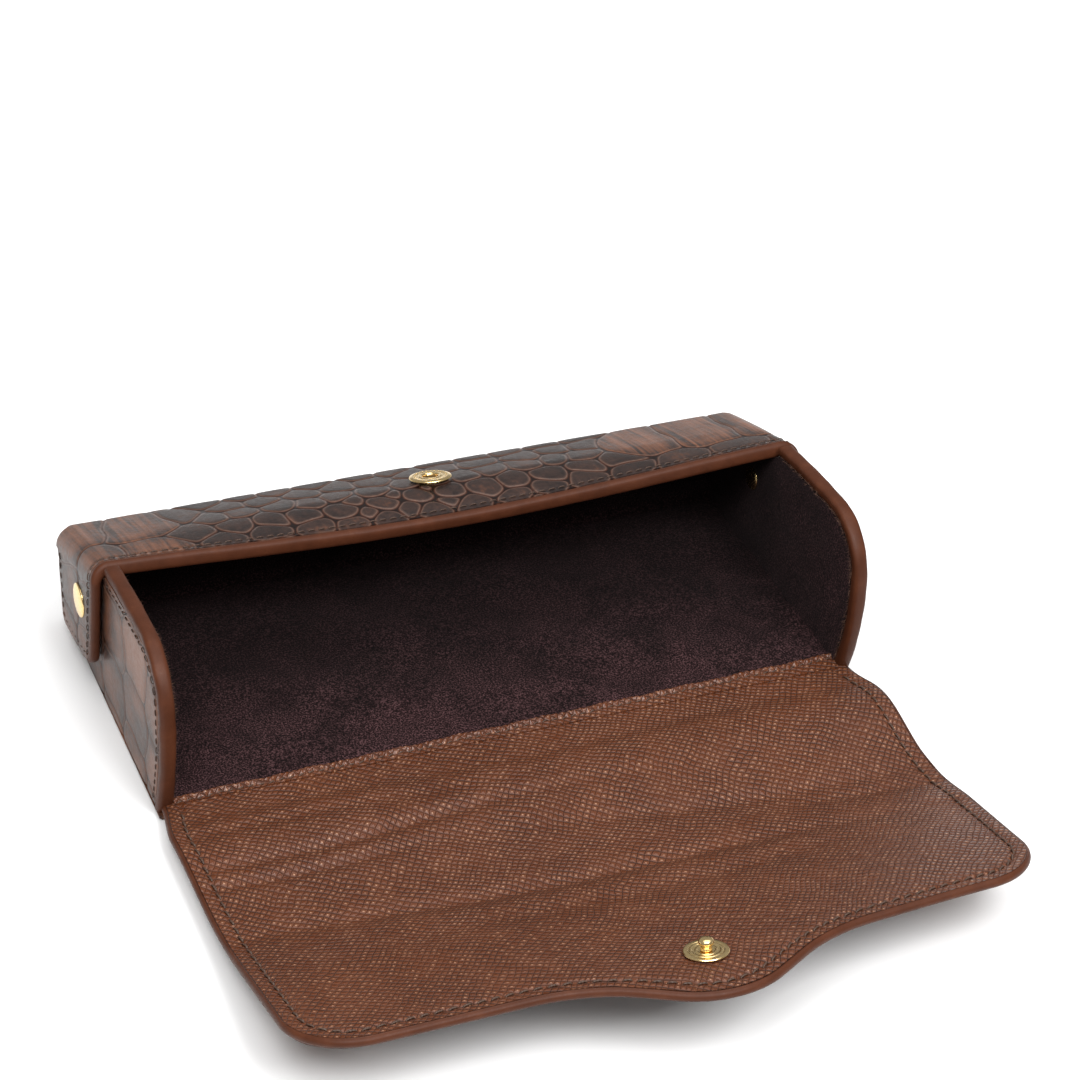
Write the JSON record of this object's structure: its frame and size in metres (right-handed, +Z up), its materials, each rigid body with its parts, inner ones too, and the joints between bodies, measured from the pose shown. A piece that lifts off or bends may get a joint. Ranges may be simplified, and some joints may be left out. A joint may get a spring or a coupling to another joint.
{
  "type": "eyeglasses case",
  "caption": "Hard eyeglasses case of embossed leather with a curved open front; a leather flap hinged at the floor wraps round the front and snaps on top.",
  "frame": {"origin": "on the underside, middle of the length, above the foot of the curved front, which is the flap's hinge side", "axes": "+X along the case's length, +Y from the open front to the upright back, +Z up; the case stands on its floor with the flap lying open in front"},
  "size_m": [0.1732, 0.1845, 0.0413],
  "materials": {
    "croc_leather": "embossed, semi-gloss",
    "lizard_leather": "fine embossed grain, semi-gloss",
    "smooth_leather": "smooth, satin",
    "suede": "matt nap",
    "greyboard": "matt, hidden",
    "flap_stiffener": "matt, hidden",
    "gold_metal": "polished pale gold"
  },
  "bodies": {
    "case": {"outer_wrap": "croc_leather", "bottom_board": "greyboard", "back_board": "greyboard", "top_board": "greyboard", "body_lining": "suede", "lip_binding": "smooth_leather", "rivet_caps": "gold_metal", "rivet_tubes": "gold_metal", "snap_socket": "gold_metal", "socket_spring": "gold_metal", "socket_washer": "gold_metal", "hinge_tab": "lizard_leather", "end_cover_left": "croc_leather", "end_board_left": "greyboard", "end_lining_left": "suede", "end_binding_left": "smooth_leather", "ear_lining_left": "suede", "end_cover_right": "croc_leather", "end_board_right": "greyboard", "end_lining_right": "suede", "end_binding_right": "smooth_leather", "ear_lining_right": "suede"},
    "flap_1": {"flap_liner_1": "lizard_leather", "flap_board_1": "flap_stiffener", "flap_cover_1": "croc_leather"},
    "flap_2": {"flap_liner_2": "lizard_leather", "flap_board_2": "flap_stiffener", "flap_cover_2": "croc_leather"},
    "flap_3": {"flap_liner_3": "lizard_leather", "flap_board_3": "flap_stiffener", "flap_cover_3": "croc_leather"},
    "flap_4": {"flap_liner_4": "lizard_leather", "flap_board_4": "flap_stiffener", "flap_cover_4": "croc_leather"},
    "flap_5": {"flap_liner_5": "lizard_leather", "flap_board_5": "flap_stiffener", "flap_cover_5": "croc_leather"},
    "flap_6": {"flap_liner_6": "lizard_leather", "flap_board_6": "flap_stiffener", "flap_cover_6": "croc_leather"},
    "flap_7": {"flap_liner_7": "lizard_leather", "flap_board_7": "flap_stiffener", "flap_cover_7": "croc_leather"},
    "flap_8": {"flap_liner_8": "lizard_leather", "flap_board_8": "flap_stiffener", "flap_cover_8": "croc_leather", "snap_stud": "gold_metal", "stud_base": "gold_metal", "stud_washer": "gold_metal"}
  },
  "joints": [
    {"name": "flap_hinge", "type": "hinge", "parent": "case", "child": "flap_1", "pos_m": [0, -0.0018, 0.00275], "axis": [-1, 0, 0], "range_deg": [-3.5, 65.27]},
    {"name": "flap_bend_2", "type": "hinge", "parent": "flap_1", "child": "flap_2", "pos_m": [0, -0.01559, 0.00644], "axis": [-1, 0, 0], "range_deg": [-1.42, 25.59]},
    {"name": "flap_bend_3", "type": "hinge", "parent": "flap_2", "child": "flap_3", "pos_m": [0, -0.02792, 0.00687], "axis": [-1, 0, 0], "range_deg": [-1.1, 19.55]},
    {"name": "flap_bend_4", "type": "hinge", "parent": "flap_3", "child": "flap_4", "pos_m": [0, -0.03416, 0.00687], "axis": [-1, 0, 0], "range_deg": [-1.37, 24.73]},
    {"name": "flap_bend_5", "type": "hinge", "parent": "flap_4", "child": "flap_5", "pos_m": [0, -0.04213, 0.00715], "axis": [-1, 0, 0], "range_deg": [-1.36, 24.45]},
    {"name": "flap_bend_6", "type": "hinge", "parent": "flap_5", "child": "flap_6", "pos_m": [0, -0.05023, 0.00829], "axis": [-1, 0, 0], "range_deg": [-0.48, 8]},
    {"name": "flap_bend_7", "type": "hinge", "parent": "flap_6", "child": "flap_7", "pos_m": [0, -0.06367, 0.0124], "axis": [-1, 0, 0], "range_deg": [-0.1, 0.94]},
    {"name": "flap_tab", "type": "hinge", "parent": "flap_7", "child": "flap_8", "pos_m": [0, -0.07777, 0.01698], "axis": [-1, 0, 0], "range_deg": [-10, 11.55]}
  ],
  "couplings": [
    {"joint": "flap_bend_2", "follows": "flap_hinge", "ratio": 0.39137},
    {"joint": "flap_bend_3", "follows": "flap_hinge", "ratio": 0.29876},
    {"joint": "flap_bend_4", "follows": "flap_hinge", "ratio": 0.3782},
    {"joint": "flap_bend_5", "follows": "flap_hinge", "ratio": 0.37383},
    {"joint": "flap_bend_6", "follows": "flap_hinge", "ratio": 0.1218},
    {"joint": "flap_bend_7", "follows": "flap_hinge", "ratio": 0.013666}
  ]
}
